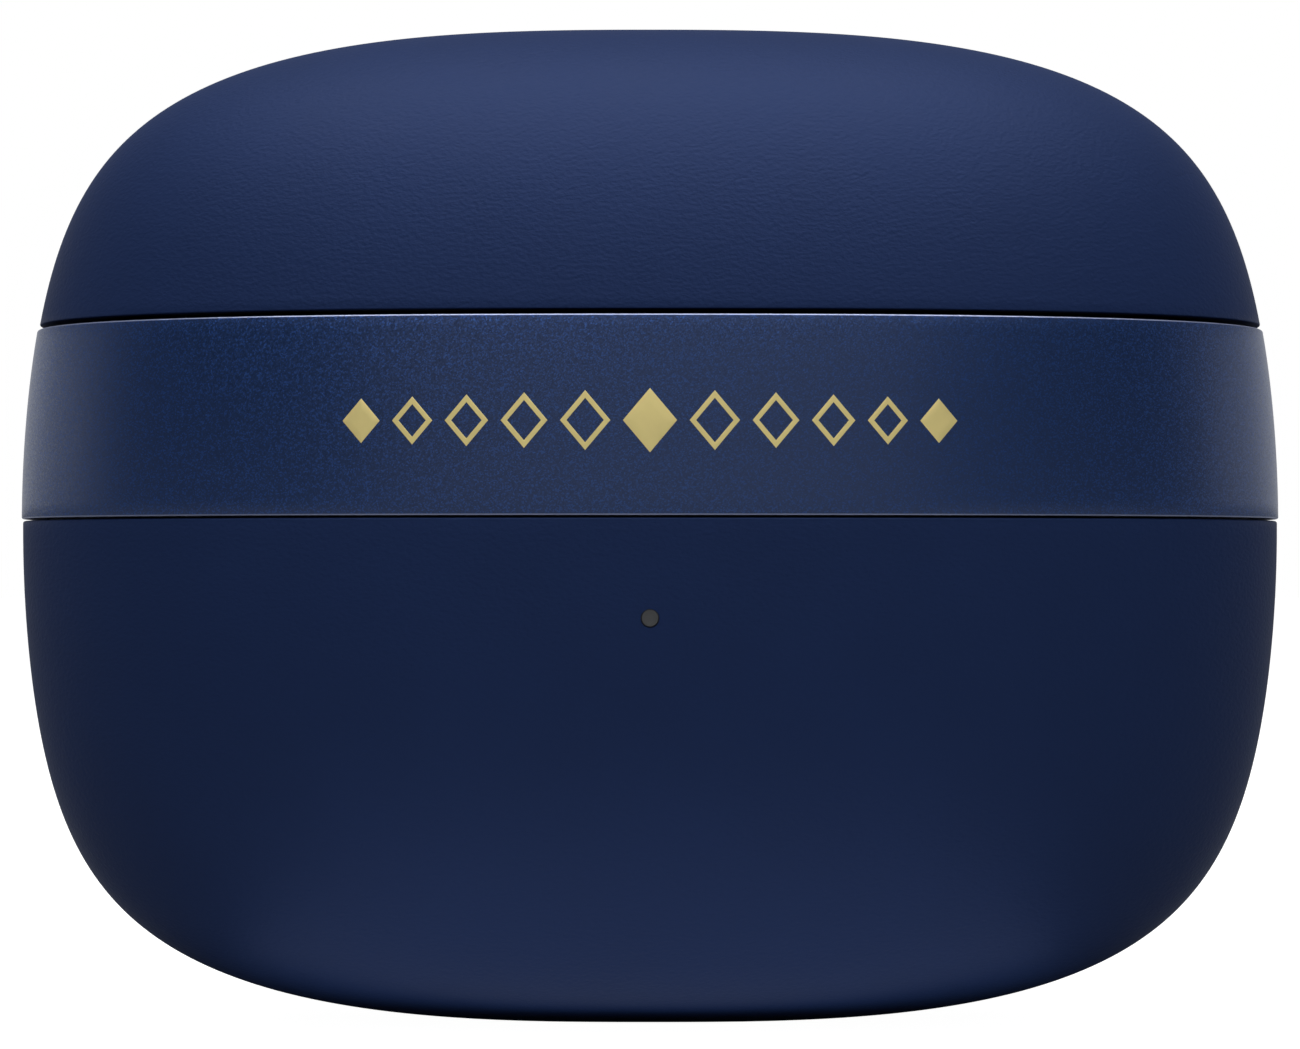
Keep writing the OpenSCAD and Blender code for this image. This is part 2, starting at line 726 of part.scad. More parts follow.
module coil_leads() {
    lead_r = 0.2;
    lead_z = board_top + lead_r + 0.02;
    far = coil_front + coil_t / 2;
    near = board_half_d - 1;
    color("#b87333") for (x = [-1.2, 1.2]) {
        translate([x, near, lead_z]) rotate([-90, 0, 0]) cylinder(r = lead_r, h = far - near);
        translate([x, far, lead_z]) sphere(lead_r);
        translate([x, far, lead_z]) cylinder(r = lead_r, h = coil_z - coil_r - lead_z);
    }
}

// ---- Pairing button and switch board ----

module switch_board() {
    color("#1d5a3c") translate([0, 0, switch_board_z])
        rounded_slab([switch_board_size[0], switch_board_size[1], switch_board_t], 1);
}

module tact_switch() {
    color("#2a2c30") translate([0, 0, switch_board_z + switch_board_t]) {
        rounded_slab([3.4, 3.4, switch_h], 0.3);
        cylinder(r = 0.8, h = switch_h + switch_nub);
    }
}

module hall_sensor() {
    color("#17181b") translate([0, -switch_board_size[1] / 2 + 1.6, switch_board_z + switch_board_t])
        rounded_slab([2, 1.3, 0.7], 0.1);
}

module pairing_button() {
    color("#2a3557") {
        translate([0, 0, deck_bottom - flange_drop]) cylinder(d = button_d, h = deck_t + flange_drop + cap_rise);
        translate([0, 0, deck_bottom - flange_drop - button_flange]) cylinder(d = button_d + 1.4, h = button_flange);
        translate([0, 0, stem_bottom]) cylinder(r = stem_r, h = deck_bottom - stem_bottom);
    }
}

module switch_flex() {
    drop = switch_board_z - board_top;
    color("#b4682a") translate([-flex_w / 2, flex_y, board_top]) {
        cube([flex_w, flex_t, drop]);
        translate([0, -1.6, 0]) cube([flex_w, 1.7, flex_t]);
        translate([0, -1.6, drop - flex_t]) cube([flex_w, 1.7, flex_t]);
    }
}

lower_shell();
mid_band();
inner_frame();
cradle();
frame_screws();
hinge_bracket();
hinge_pin();
hinge_screws();
main_board();
board_screws();
processor_chip();
power_chip();
board_parts();
status_led();
light_pipe();
battery();
battery_pad();
battery_leads();
battery_socket();
usb_shell();
usb_tongue();
usb_contacts();
charge_coil();
ferrite_sheet();
coil_pad();
coil_leads();
switch_board();
switch_flex();
tact_switch();
hall_sensor();
pairing_button();
base_magnet();
bud_magnets();
pogo_housing(-1);  // left_pogo_housing
pogo_housing(1);  // right_pogo_housing
plunger(-1, -1);  // left_outer_plunger
plunger(-1, 1);  // left_inner_plunger
plunger(1, -1);  // right_inner_plunger
plunger(1, 1);  // right_outer_plunger
plunger_spring(-1, -1);  // left_outer_spring
plunger_spring(-1, 1);  // left_inner_spring
plunger_spring(1, -1);  // right_inner_spring
plunger_spring(1, 1);  // right_outer_spring
lid_shell();
lid_liner();
lid_hinge_arm();
lid_hinge_screws();
lid_magnet();
lid_bumpers();
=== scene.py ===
import math

import bpy
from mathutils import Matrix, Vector


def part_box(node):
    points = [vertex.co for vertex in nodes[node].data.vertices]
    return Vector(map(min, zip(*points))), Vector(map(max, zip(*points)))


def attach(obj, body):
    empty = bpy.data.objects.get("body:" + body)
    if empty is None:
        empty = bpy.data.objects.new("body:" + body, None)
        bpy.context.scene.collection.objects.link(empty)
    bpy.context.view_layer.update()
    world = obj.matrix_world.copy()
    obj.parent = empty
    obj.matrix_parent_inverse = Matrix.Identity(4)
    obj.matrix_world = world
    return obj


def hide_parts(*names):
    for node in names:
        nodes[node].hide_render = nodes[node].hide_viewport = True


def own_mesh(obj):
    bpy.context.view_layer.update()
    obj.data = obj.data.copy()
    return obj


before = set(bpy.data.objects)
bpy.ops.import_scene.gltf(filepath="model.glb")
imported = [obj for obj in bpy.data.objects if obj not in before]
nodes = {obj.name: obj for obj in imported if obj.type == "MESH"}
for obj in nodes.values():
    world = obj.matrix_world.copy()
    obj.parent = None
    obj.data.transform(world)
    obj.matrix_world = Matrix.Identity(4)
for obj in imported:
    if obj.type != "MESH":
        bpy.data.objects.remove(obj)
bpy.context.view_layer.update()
mm = 0.001

bpy.context.scene.view_settings.view_transform = "Standard"  # keeps the white backdrop white

# ---- Camera ----

camera = {"distance": 169.3, "height": 23.0, "tilt": 0.886, "lens": 89.55}
bpy.ops.object.camera_add(
    location=(0, -camera["distance"] * mm, camera["height"] * mm),
    rotation=(math.radians(90 + camera["tilt"]), 0, 0),
)
cameraObject = bpy.context.object
cameraObject.data.lens = camera["lens"]
cameraObject.data.sensor_width = 36
cameraObject.data.clip_start = 0.005
bpy.context.scene.camera = cameraObject
print("camera set")

# ---- Shape of the casing, in millimetres ----

pebble = {
    "width": 65.0, "depth": 29.0, "midZ": 25.565, "half": 25.765,
    "cornerPower": 2.83, "flatShare": 0.416, "crownPower": 5.6,
    "planPower": 2.5, "sidePower": 2.4, "crowding": 2.4,
    "crownZ": 51.3, "wall": 1.2, "around": 224,
}
seams = {
    "lowerRim": 25.75, "bandBottom": 25.85, "bandTop": 35.57,
    "lidRim": 35.83, "bandProud": 0.068,
}


def relHeight(z, grow):
    return min(1.0, abs(z - pebble["midZ"]) / (pebble["half"] + grow))


def halfWidth(z, grow):
    t = relHeight(z, grow)
    flat = pebble["flatShare"]
    share = 1 - flat * t ** 2 - (1 - flat) * t ** pebble["crownPower"]
    return (pebble["width"] / 2 + grow) * max(0.0, share) ** (1 / pebble["cornerPower"])


def halfDepth(z, grow):
    share = 1 - relHeight(z, grow) ** pebble["sidePower"]
    return (pebble["depth"] / 2 + grow) * max(0.0, share) ** (1 / pebble["sidePower"])


def skinDepth(x, z, grow):
    share = 1 - min(1.0, abs(x) / halfWidth(z, grow)) ** pebble["planPower"]
    return halfDepth(z, grow) * share ** (1 / pebble["planPower"])


def skinPoint(row, angle):
    z, grow, share = row
    c, s = math.cos(angle), math.sin(angle)
    p = pebble["planPower"]
    reach = share / (abs(c) ** p + abs(s) ** p) ** (1 / p)
    return Vector((halfWidth(z, grow) * c * reach, halfDepth(z, grow) * s * reach, z)) * mm


def climb(up, fromZ, toZ, grow, steps):  # rows from fromZ to toZ, closer together near the pole
    half, crowding = pebble["half"] + grow, pebble["crowding"]

    def fromPole(z):
        return max(0.0, 1 - up * (z - pebble["midZ"]) / half) ** (1 / crowding)

    first, last = fromPole(fromZ), fromPole(toZ)
    rows = []
    for i in range(steps + 1):
        s = first + (last - first) * i / steps
        rows.append((pebble["midZ"] + up * half * (1 - s ** crowding), grow, 1.0))
    return rows


def cap(z, grow):  # rows that close the flat tip of a skin
    return [(z, grow, share) for share in (0.0, 0.3, 0.6, 0.85)]


def roundedEdge(z, grow, radius, into, steps=4):
    # into is 1 where the wall lies above the edge and -1 where it lies below
    rows = []
    for i in range(steps + 1):
        a = math.pi / 2 * i / steps
        rows.append((z + into * radius * (1 - math.cos(a)), grow - radius * (1 - math.sin(a)), 1.0))
    return rows


# ---- Ways of making pieces ----

def select(piece):
    bpy.ops.object.select_all(action="DESELECT")
    piece.select_set(True)
    bpy.context.view_layer.objects.active = piece


def edit(piece, mode="VERT"):
    select(piece)
    bpy.ops.object.mode_set(mode="EDIT")
    bpy.ops.mesh.select_mode(type=mode)
    bpy.ops.mesh.select_all(action="DESELECT")


def settle(piece, angle=32):  # welds, turns the faces outward and smooths
    edit(piece)
    bpy.ops.mesh.select_all(action="SELECT")
    bpy.ops.mesh.remove_doubles(threshold=2e-6)
    bpy.ops.mesh.normals_make_consistent(inside=False)
    bpy.ops.object.mode_set(mode="OBJECT")
    select(piece)
    bpy.ops.object.transform_apply(location=True, rotation=True, scale=True)
    bpy.ops.object.shade_smooth_by_angle(angle=math.radians(angle))
    return piece


def loft(name, around, rows, place, ring=False, capped=False):
    bpy.ops.object.select_all(action="DESELECT")
    bpy.ops.mesh.primitive_circle_add(vertices=around, radius=1, fill_type="NOTHING", location=(0, 0, 0))
    piece = bpy.context.object
    piece.name = piece.data.name = name
    bpy.ops.object.mode_set(mode="EDIT")
    bpy.ops.mesh.select_mode(type="VERT")
    bpy.ops.mesh.select_all(action="SELECT")
    for _ in rows[1:]:
        bpy.ops.mesh.extrude_region_move(TRANSFORM_OT_translate={"value": (0, 0, 1)})
    bpy.ops.object.mode_set(mode="OBJECT")
    last = len(rows) - 1
    spots = [(round(v.co.z), math.atan2(v.co.y, v.co.x)) for v in piece.data.vertices]
    for v, (level, angle) in zip(piece.data.vertices, spots):
        v.co = place(rows[level], angle)
    for ends in ([(0, last)] if ring else [(0,), (last,)] if capped else []):
        edit(piece)
        bpy.ops.object.mode_set(mode="OBJECT")
        for v, (level, angle) in zip(piece.data.vertices, spots):
            v.select = level in ends
        bpy.ops.object.mode_set(mode="EDIT")
        if ring:
            bpy.ops.mesh.bridge_edge_loops()
        else:
            bpy.ops.mesh.edge_face_add()
        bpy.ops.object.mode_set(mode="OBJECT")
    return settle(piece)


def combine(piece, tool, operation="DIFFERENCE"):
    select(piece)
    boolean = piece.modifiers.new("cut", "BOOLEAN")
    boolean.operation, boolean.object, boolean.solver = operation, tool, "EXACT"
    bpy.ops.object.modifier_apply(modifier="cut")
    bpy.data.objects.remove(tool)
    return piece


def merge(name, pieces):
    bpy.ops.object.select_all(action="DESELECT")
    for piece in pieces:
        piece.select_set(True)
    bpy.context.view_layer.objects.active = pieces[0]
    if len(pieces) > 1:
        bpy.ops.object.join()
    pieces[0].name = pieces[0].data.name = name
    return pieces[0]


def rod(radius, height, at, turn=(0, 0, 0), vertices=64):
    bpy.ops.object.select_all(action="DESELECT")
    bpy.ops.mesh.primitive_cylinder_add(
        vertices=vertices, radius=radius * mm, depth=height * mm,
        location=[v * mm for v in at], rotation=[math.radians(v) for v in turn],
    )
    piece = bpy.context.object
    bpy.ops.object.transform_apply(location=True, rotation=True, scale=True)
    return piece


def block(low, high):
    bpy.ops.object.select_all(action="DESELECT")
    bpy.ops.mesh.primitive_cube_add(
        size=1, location=[(a + b) / 2 * mm for a, b in zip(low, high)],
        scale=[(b - a) * mm for a, b in zip(low, high)],
    )
    piece = bpy.context.object
    bpy.ops.object.transform_apply(location=True, rotation=True, scale=True)
    return piece


def bevelEdges(piece, width, segments, chosen):
    # chosen tells from an edge's two ends whether it is rounded
    edit(piece, "EDGE")
    bpy.ops.object.mode_set(mode="OBJECT")
    for edge in piece.data.edges:
        a, b = (piece.data.vertices[i].co / mm for i in edge.vertices)
        edge.select = chosen(a, b)
    bpy.ops.object.mode_set(mode="EDIT")
    bpy.ops.mesh.bevel(offset=width * mm, segments=segments, affect="EDGES")
    bpy.ops.object.mode_set(mode="OBJECT")
    return piece


hinge = {
    "y": 13.0851, "z": 35.7, "beadHalf": 11.0, "beadRadius": 1.1, "endRadius": 0.75,
    "endClear": 0.2, "lidClear": 0.15, "bandClear": 0.4,
    "relief": 0.7, "reliefHalf": 14.42, "around": 64, "steps": 16,
}


def barrel(grow):  # the space round the hinge bead
    half = hinge["beadHalf"] + hinge["endClear"]
    taper = hinge["beadRadius"] - hinge["endRadius"]

    def place(x, angle):
        r = hinge["beadRadius"] - taper * (x / hinge["beadHalf"]) ** 2 + grow
        return Vector((x, hinge["y"] + r * math.cos(angle), hinge["z"] + r * math.sin(angle))) * mm

    rows = [-half + 2 * half * i / hinge["steps"] for i in range(hinge["steps"] + 1)]
    return loft("barrel", hinge["around"], rows, place, capped=True)


# ---- Lid shell ----

lidShape = {
    "rimRound": 0.07, "outerRows": 64, "innerRows": 26, "poleGap": 0.3,
    "bossRadius": 1.3, "bossLong": 1.5, "bossX": 3, "bossY": 11.55, "bossZ": 39.13,
}
innerTop = pebble["midZ"] + pebble["half"] - pebble["wall"] - lidShape["poleGap"]
rimStart = seams["lidRim"] + lidShape["rimRound"]
lidRows = (
    cap(pebble["crownZ"], 0)
    + climb(1, pebble["crownZ"], rimStart, 0, lidShape["outerRows"])
    + roundedEdge(seams["lidRim"], 0, lidShape["rimRound"], 1)[-2::-1]
    + climb(1, innerTop, seams["lidRim"], -pebble["wall"], lidShape["innerRows"])[::-1]
    + cap(innerTop, -pebble["wall"])[::-1]
)
lidShell = loft("lidShell", pebble["around"], lidRows, skinPoint)
lidBosses = []
for side in (-1, 1):
    at = (side * lidShape["bossX"], lidShape["bossY"], lidShape["bossZ"])
    lidBosses.append(rod(lidShape["bossRadius"], lidShape["bossLong"], at, (90, 0, 0), 40))
combine(lidShell, merge("lidBosses", lidBosses), "UNION")
combine(lidShell, barrel(hinge["lidClear"]))
settle(lidShell)
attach(lidShell, "lid")
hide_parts("lid_shell")
print("lid shell made")

# ---- Band ----

bandShape = {"edgeRound": 0.1, "rows": 14, "innerRows": 5}


def upright(fromZ, toZ, grow, steps):  # evenly spaced rows
    return [(fromZ + (toZ - fromZ) * i / steps, grow, 1.0) for i in range(steps + 1)]


bandRound, proud = bandShape["edgeRound"], seams["bandProud"]
bandRows = (
    roundedEdge(seams["bandBottom"], proud, bandRound, 1)[:-1]
    + upright(seams["bandBottom"] + bandRound, seams["bandTop"] - bandRound, proud, bandShape["rows"])
    + roundedEdge(seams["bandTop"], proud, bandRound, -1)[-2::-1]
    + upright(seams["bandTop"], seams["bandBottom"], -pebble["wall"], bandShape["innerRows"])
)
bandShell = loft("bandShell", pebble["around"], bandRows, skinPoint, ring=True)
combine(bandShell, barrel(hinge["bandClear"]))
reliefAt = (0, hinge["y"], hinge["z"])
combine(bandShell, rod(hinge["relief"], 2 * hinge["reliefHalf"], reliefAt, (0, 90, 0)))
settle(bandShell)
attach(bandShell, "base")
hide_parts("mid_band")
print("band made")

# ---- Lower shell ----

lowerShape = {
    "rimRound": 0.12, "outerRows": 72, "innerRows": 30, "poleGap": 0.3, "coreFrom": 0.9, "coreTo": 22.5,
}
port = {
    "width": 9.24, "height": 3.5, "corner": 1.7, "z": 11.6, "y": 12.404, "inward": 2.4, "outward": 3.6,
}
statusLight = {"radius": 0.45, "z": 20.9, "y": -14, "deep": 4}
boardPost = {"x": 19.4, "y": 4.6, "radius": 1.7, "tall": 12.2, "z": 7.1, "holeZ": 11.7, "holeDeep": 5}
framePost = {
    "x": 28.485, "top": 21.7, "bottom": 14.0, "radius": 1.9,
    "webLong": 5, "webHalf": 0.7, "webUp": 1, "holeZ": 19.8, "holeDeep": 6,
}
screwHole = {"radius": 0.5, "vertices": 24}
innerFoot = pebble["midZ"] - pebble["half"] + pebble["wall"] + lowerShape["poleGap"]
lowerRows = (
    cap(0, 0)
    + climb(-1, 0, seams["lowerRim"] - lowerShape["rimRound"], 0, lowerShape["outerRows"])
    + roundedEdge(seams["lowerRim"], 0, lowerShape["rimRound"], -1)[-2::-1]
    + climb(-1, innerFoot, seams["lowerRim"], -pebble["wall"], lowerShape["innerRows"])[::-1]
    + cap(innerFoot, -pebble["wall"])[::-1]
)
lowerShell = loft("lowerShell", pebble["around"], lowerRows, skinPoint)


def screwPlaces(side):  # where the board's two posts and the frame's post stand on one side
    return [(side * boardPost["x"], end * boardPost["y"]) for end in (-1, 1)], (side * framePost["x"], 0)


posts = []
for side in (-1, 1):
    boardSpots, frameSpot = screwPlaces(side)
    for spot in boardSpots:
        posts.append(rod(boardPost["radius"], boardPost["tall"], (*spot, boardPost["z"]), vertices=40))
    middle = (framePost["top"] + framePost["bottom"]) / 2
    post = rod(framePost["radius"], framePost["top"] - framePost["bottom"], (*frameSpot, middle), vertices=40)
    webX = sorted((side * framePost["x"], side * (framePost["x"] + framePost["webLong"])))
    web = block(
        (webX[0], -framePost["webHalf"], framePost["bottom"] + framePost["webUp"]),
        (webX[1], framePost["webHalf"], framePost["top"]),
    )
    posts.append(combine(post, web, "UNION"))
coreRows = climb(-1, lowerShape["coreFrom"], lowerShape["coreTo"], -pebble["wall"] / 2, 24)
core = loft("core", 96, coreRows, skinPoint, capped=True)
combine(lowerShell, combine(merge("posts", posts), core, "INTERSECT"), "UNION")
opening = block(
    (-port["width"] / 2, port["y"] - port["inward"], port["z"] - port["height"] / 2),
    (port["width"] / 2, port["y"] + port["outward"], port["z"] + port["height"] / 2),
)
bevelEdges(opening, port["corner"], 12, lambda a, b: abs(a.y - b.y) > 1)
combine(lowerShell, opening)
lightMiddle = (0, statusLight["y"], statusLight["z"])
combine(lowerShell, rod(statusLight["radius"], statusLight["deep"], lightMiddle, (90, 0, 0), 48))
for side in (-1, 1):
    boardSpots, frameSpot = screwPlaces(side)
    holes = [(*spot, boardPost["holeZ"], boardPost["holeDeep"]) for spot in boardSpots]
    holes.append((*frameSpot, framePost["holeZ"], framePost["holeDeep"]))
    for x, y, z, deep in holes:
        combine(lowerShell, rod(screwHole["radius"], deep, (x, y, z), vertices=screwHole["vertices"]))
settle(lowerShell)
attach(lowerShell, "base")
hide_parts("lower_shell")
print("lower shell made")

# ---- Lid liner ----

linerShape = {
    "skinIn": 1.3, "thickness": 0.9, "rim": 35.93, "rows": 34, "poleGap": 0.3,
    "coreTall": 6, "coreRows": 12, "coreIn": 0.45,
}
magnetSeat = {
    "y": -9.552, "half": 5.8, "front": 8, "back": 2.1, "tall": 2.8, "corner": 0.7, "edge": 0.25,
    "slotHalf": 5, "slotDeep": 1.3, "slotFrom": 0.9, "slotTo": 3.9,
}
bumperSeat = {"inset": 3.4, "radius": 2.6, "tall": 0.8}
armPocket = {"half": 5.2, "front": 9.754, "back": 18.9, "bottom": 34.7, "top": 42.23, "corner": 0.5}
linerOut, linerIn = -linerShape["skinIn"], -linerShape["skinIn"] - linerShape["thickness"]
linerTop = [
    pebble["midZ"] + pebble["half"] + grow - linerShape["poleGap"] for grow in (linerOut, linerIn)
]
linerRows = (
    cap(linerTop[0], linerOut)
    + climb(1, linerTop[0], linerShape["rim"], linerOut, linerShape["rows"])
    + climb(1, linerTop[1], linerShape["rim"], linerIn, linerShape["rows"])[::-1]
    + cap(linerTop[1], linerIn)[::-1]
)
liner = loft("lidLiner", pebble["around"], linerRows, skinPoint)
rim = linerShape["rim"]
coreRows = upright(rim, rim + linerShape["coreTall"], linerOut - linerShape["coreIn"], linerShape["coreRows"])
linerCore = loft("linerCore", 160, coreRows, skinPoint, capped=True)
seatTop = rim + magnetSeat["tall"]
magnetBoss = block(
    (-magnetSeat["half"], magnetSeat["y"] - magnetSeat["front"], rim),
    (magnetSeat["half"], magnetSeat["y"] + magnetSeat["back"], seatTop),
)
bevelEdges(
    magnetBoss, magnetSeat["corner"], 6,
    lambda a, b: abs(a.z - b.z) > 1 and a.y > magnetSeat["y"],
)
bevelEdges(
    magnetBoss, magnetSeat["edge"], 4,
    lambda a, b: min(a.z, b.z) > seatTop - 0.1 and max(a.y, b.y) > magnetSeat["y"] + 1,
)
bumperX = halfWidth(seams["lidRim"], linerOut) - bumperSeat["inset"]
seats = []
for side in (-1, 1):
    at = (side * bumperX, 0, rim + bumperSeat["tall"] / 2)
    seats.append(rod(bumperSeat["radius"], bumperSeat["tall"], at, vertices=56))
bosses = merge("linerBosses", [magnetBoss] + seats)
combine(liner, combine(bosses, linerCore, "INTERSECT"), "UNION")
slotX, slotY = magnetSeat["slotHalf"], magnetSeat["slotDeep"]
combine(liner, block(
    (-slotX, magnetSeat["y"] - slotY, seams["lidRim"] + magnetSeat["slotFrom"]),
    (slotX, magnetSeat["y"] + slotY, seams["lidRim"] + magnetSeat["slotTo"]),
))
combine(liner, barrel(hinge["lidClear"]))
pocket = block(
    (-armPocket["half"], armPocket["front"], armPocket["bottom"]),
    (armPocket["half"], armPocket["back"], armPocket["top"]),
)
bevelEdges(pocket, armPocket["corner"], 5, lambda a, b: abs(a.y - b.y) > 1)
combine(liner, pocket)
settle(liner)
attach(liner, "lid")
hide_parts("lid_liner")
print("lid liner made")

# ---- Ornament on the band ----

ornament = {
    "count": 5, "centreZ": 30.4, "halfHeight": 1.55, "halfWidth": 1.3, "shrink": 0.93,
    "gap": 0.6, "stroke": 0.24, "raise": 0.02, "sink": 0.05, "soften": 0.06, "sideLevel": 0.4,
    "around": 64,
}


def lozenge(centreX, high, wide, filled):
    # a row is a share of the way out from the middle, and a level: -1 sunk in the band, 1 raised
    inner = 0.0 if filled else 1 - ornament["stroke"] * math.hypot(high, wide) / (high * wide)
    soft = ornament["soften"] * (1 - inner)
    rows = [(1, -1), (1, ornament["sideLevel"]), (1 - soft, 1)]
    if filled:
        rows = [(0, -1), (0.5, -1)] + rows + [(0.5, 1), (0, 1)]
    else:
        rows += [(inner + soft, 1), (inner, ornament["sideLevel"]), (inner, -1)]

    def place(row, angle):
        share, level = row
        c, s = math.cos(angle), math.sin(angle)
        reach = share / (abs(c) + abs(s))
        x, z = centreX + wide * c * reach, ornament["centreZ"] + high * s * reach
        lift = ornament["raise"] * level if level > 0 else -ornament["sink"]
        return Vector((x, -(skinDepth(x, z, seams["bandProud"]) + lift), z)) * mm

    return loft("lozenge", ornament["around"], rows, place, ring=not filled)


lozenges, centreX, high, wide = [], 0.0, ornament["halfHeight"], ornament["halfWidth"]
for step in range(ornament["count"] + 1):
    for side in ((1,) if step == 0 else (-1, 1)):
        lozenges.append(lozenge(side * centreX, high, wide, step in (0, ornament["count"])))
    nextWide = wide * ornament["shrink"]
    centreX += wide + nextWide + ornament["gap"]
    high, wide = high * ornament["shrink"], nextWide
bandOrnament = merge("bandOrnament", lozenges)
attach(bandOrnament, "base")
print("ornament made")

# ---- Lens of the status light ----

lens = {
    "radius": 0.41, "rise": 0.02, "back": 14.345, "proud": 0.012,
    "rim": 0.07, "dish": 0.018, "crown": 0.008,
}
lensFront = halfDepth(statusLight["z"], 0) + lens["proud"]
dishRadius, dishFront = lens["radius"] - lens["rim"] - 0.03, lensFront - lens["dish"]
lensRows = [  # radius and depth, from the back to the middle of the dished front
    (0, lens["back"]),
    (lens["radius"], lens["back"]),
    (lens["radius"], lensFront - 0.03),
    (lens["radius"] - 0.012, lensFront - 0.008),
    (lens["radius"] - 0.03, lensFront),
    (lens["radius"] - lens["rim"], lensFront - 0.004),
    (dishRadius, dishFront),
    (0.12, dishFront + 0.006),
    (0, dishFront + lens["crown"]),
]


def lensPoint(row, angle):
    radius, depth = row
    z = statusLight["z"] + lens["rise"] + radius * math.sin(angle)
    return Vector((radius * math.cos(angle), -depth, z)) * mm


lightLens = loft("lightLens", 64, lensRows, lensPoint)
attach(lightLens, "base")
print("status light lens made")

# ---- Springs under the contacts ----

spring = {"wire": 0.16, "radius": 0.5, "turns": 5, "steps": 28, "profile": 12, "press": 0.8}
bpy.ops.object.select_all(action="DESELECT")
bpy.ops.mesh.primitive_circle_add(
    vertices=spring["profile"], radius=spring["wire"] / 2 * mm,
    location=(spring["radius"] * mm, 0, 0), rotation=(math.radians(90), 0, 0),
)
firstSpring = bpy.context.object
bpy.ops.object.transform_apply(location=True, rotation=True, scale=True)
springLow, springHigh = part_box("left_outer_spring")
screw = firstSpring.modifiers.new("coil", "SCREW")
screw.steps = screw.render_steps = spring["steps"]
screw.iterations = spring["turns"]
screw.screw_offset = (springHigh.z - springLow.z - spring["wire"] * mm) / spring["turns"]
bpy.ops.object.modifier_apply(modifier="coil")
edit(firstSpring)
bpy.ops.mesh.select_non_manifold()
bpy.ops.mesh.fill_holes(sides=0)
bpy.ops.object.mode_set(mode="OBJECT")
settle(firstSpring, 50)
springs = []
for name in ("left_outer", "left_inner", "right_inner", "right_outer"):
    select(firstSpring)
    bpy.ops.object.duplicate(linked=False)
    piece = bpy.context.object
    low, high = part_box(name + "_spring")
    middle = (low + high) / 2
    piece.location = (middle.x, middle.y, low.z + spring["wire"] / 2 * mm)
    bpy.ops.object.transform_apply(location=True, rotation=True, scale=True)
    piece.name = piece.data.name = name + "_coil"
    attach(piece, "base")
    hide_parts(name + "_spring")
    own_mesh(piece)
    springs.append(piece)
bpy.data.objects.remove(firstSpring)
print("springs made")


# ---- Finishes ----

class Wire:
    def __init__(self, finish, socket):
        self.finish, self.socket = finish, socket

    def sum(self, operation, *parts):
        return self.finish.node("ShaderNodeMath", {"operation": operation}, dict(enumerate(parts)))

    def __add__(self, other):
        return self.sum("ADD", self, other)

    def __sub__(self, other):
        return self.sum("SUBTRACT", self, other)

    def __rsub__(self, other):
        return self.sum("SUBTRACT", other, self)

    def __mul__(self, other):
        return self.sum("MULTIPLY", self, other)

    __radd__ = __add__
    __rmul__ = __mul__


class Finish:
    def __init__(self, name, colour=(0.5, 0.5, 0.5), **fixed):
        self.material = bpy.data.materials.new(name)
        self.material.use_nodes = True
        self.tree = self.material.node_tree
        self.shader = self.tree.nodes["Principled BSDF"]
        self.material.diffuse_color = (*colour, 1)
        self.shader.inputs["Base Color"].default_value = (*colour, 1)
        for socket, value in fixed.items():
            self.shader.inputs[socket.replace("_", " ")].default_value = value
        self.place = self.node("ShaderNodeTexCoord", {}, {}, "Object")

    def node(self, kind, settings, sockets, output=0):
        made = self.tree.nodes.new(kind)
        for key, value in settings.items():
            setattr(made, key, value)
        for key, value in sockets.items():
            if isinstance(value, Wire):
                self.tree.links.new(value.socket, made.inputs[key])
            else:
                made.inputs[key].default_value = value
        return Wire(self, made.outputs[output])

    def feed(self, socket, wire):
        self.tree.links.new(wire.socket, self.shader.inputs[socket])

    def noise(self, size, detail=2.0, rough=0.5, place=None):  # size is one feature in millimetres
        return self.node("ShaderNodeTexNoise", {}, {
            "Vector": place or self.place, "Scale": 1 / (size * mm), "Detail": detail, "Roughness": rough})

    def cells(self, size, feature="F1", output="Distance", place=None):
        return self.node("ShaderNodeTexVoronoi", {"feature": feature}, {
            "Vector": place or self.place, "Scale": 1 / (size * mm)}, output)

    def axis(self, which):
        return self.node("ShaderNodeSeparateXYZ", {}, {0: self.place}, "XYZ".index(which))

    def between(self, wire, low, high, outLow=0.0, outHigh=1.0):
        return self.node("ShaderNodeMapRange", {"interpolation_type": "SMOOTHSTEP"}, {
            "Value": wire, "From Min": low, "From Max": high, "To Min": outLow, "To Max": outHigh})

    def blend(self, factor, first, second):  # the mix of two colours
        pair = [(*colour, 1) if isinstance(colour, tuple) else colour for colour in (first, second)]
        return self.node("ShaderNodeMix", {"data_type": "RGBA"}, {0: factor, 6: pair[0], 7: pair[1]}, 2)

    def waves(self, wire):  # turns an angle into a wave from 0 to 1
        return self.node("ShaderNodeMath", {"operation": "SINE"}, {0: wire}) * 0.5 + 0.5

    def bump(self, height, depth):  # depth in micrometres
        self.feed("Normal", self.node("ShaderNodeBump", {}, {
            "Height": height, "Distance": depth * 1e-6, "Strength": 1.0}, "Normal"))


def shade(colour, factor):
    return tuple(min(1.0, c * factor) for c in colour)


def grey(tone):
    return (tone, tone, tone, 1)


lacquer = {  # rubbery lacquer with a fine leathery grain
    "grain": 0.2, "fine": 0.08, "depth": 27, "mottle": 7.0, "rough": 0.57, "spread": 0.14,
    "metallic": 0.27, "gloss": 0.12, "glossTint": (0.9, 0.93, 1.0, 1.0), "lie": (0.75, 1.0, 1.2),
}


